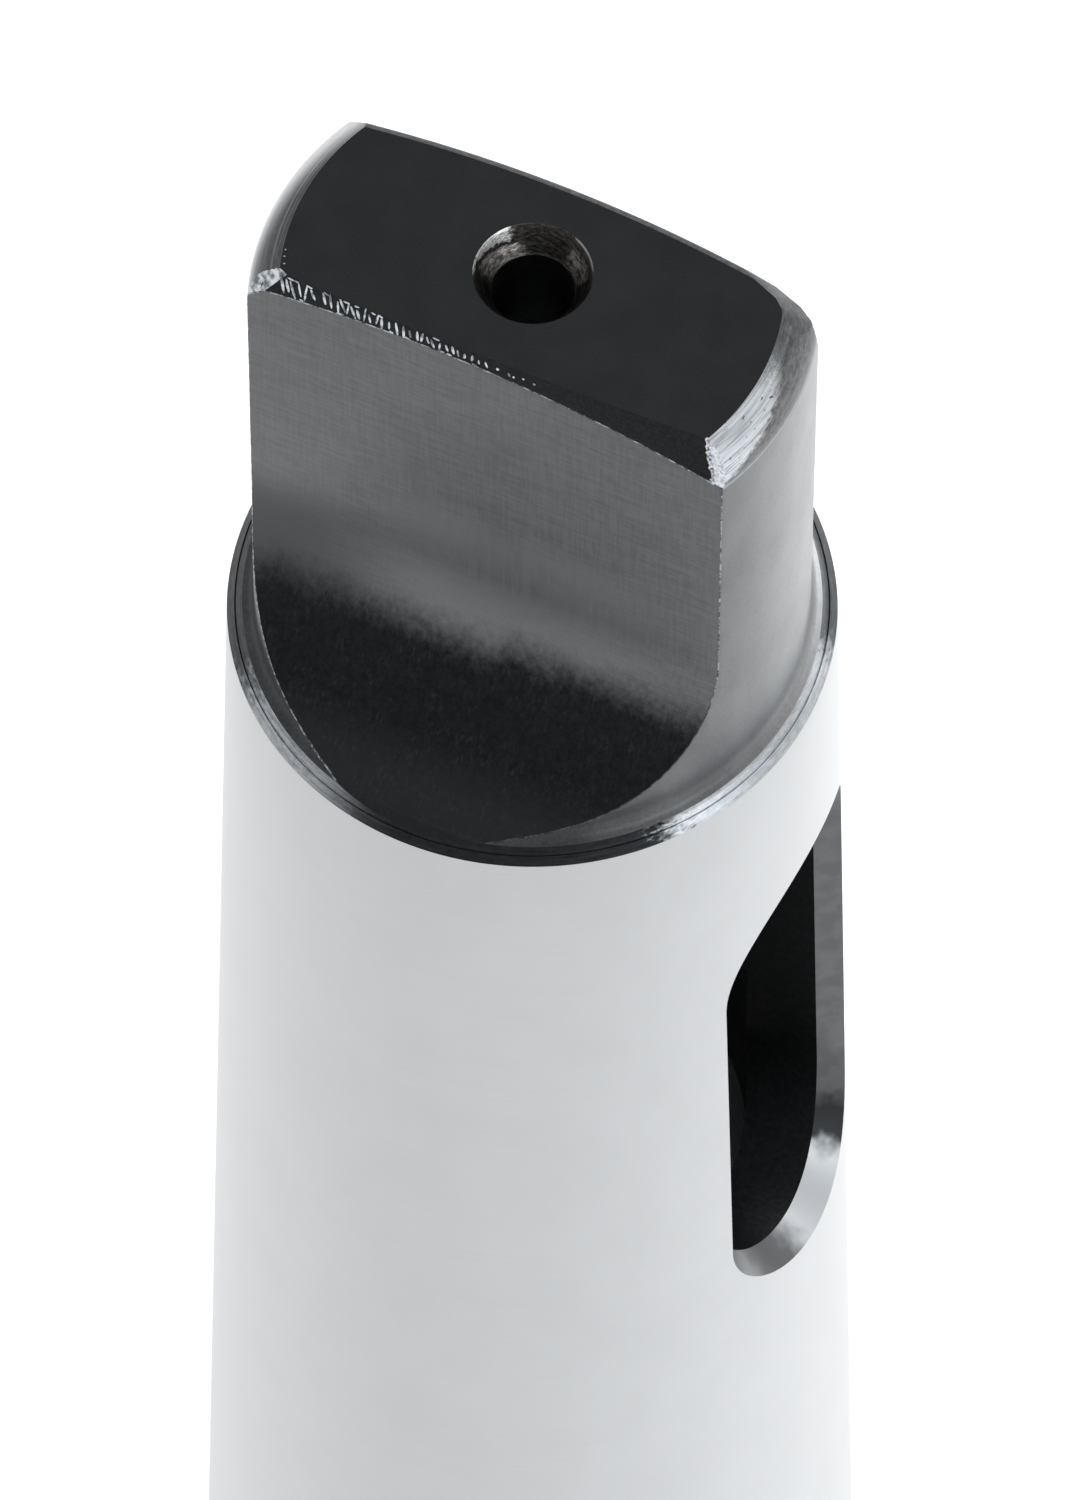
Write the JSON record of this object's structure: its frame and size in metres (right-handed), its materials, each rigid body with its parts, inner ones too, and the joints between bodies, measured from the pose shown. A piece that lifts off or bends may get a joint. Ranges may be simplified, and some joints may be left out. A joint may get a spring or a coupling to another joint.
{
  "type": "morse taper sleeve",
  "caption": "Steel reducing sleeve for tapered drill shanks: ground taper outside, taper socket inside, drift slot through the wall and a flat-sided tang.",
  "frame": {"origin": "centre of the large end face, which the sleeve stands on", "axes": "+Z along the taper's axis, from the large end to the tip of the tang; X through the drift slot and along the wide way of the tang; Y square to the tang's flats"},
  "size_m": [0.0246, 0.0246, 0.112],
  "materials": {
    "steel": "ground taper, black heat-treated tang, collar and slot"
  },
  "bodies": {
    "root": {"sleeve": "steel"}
  },
  "joints": []
}
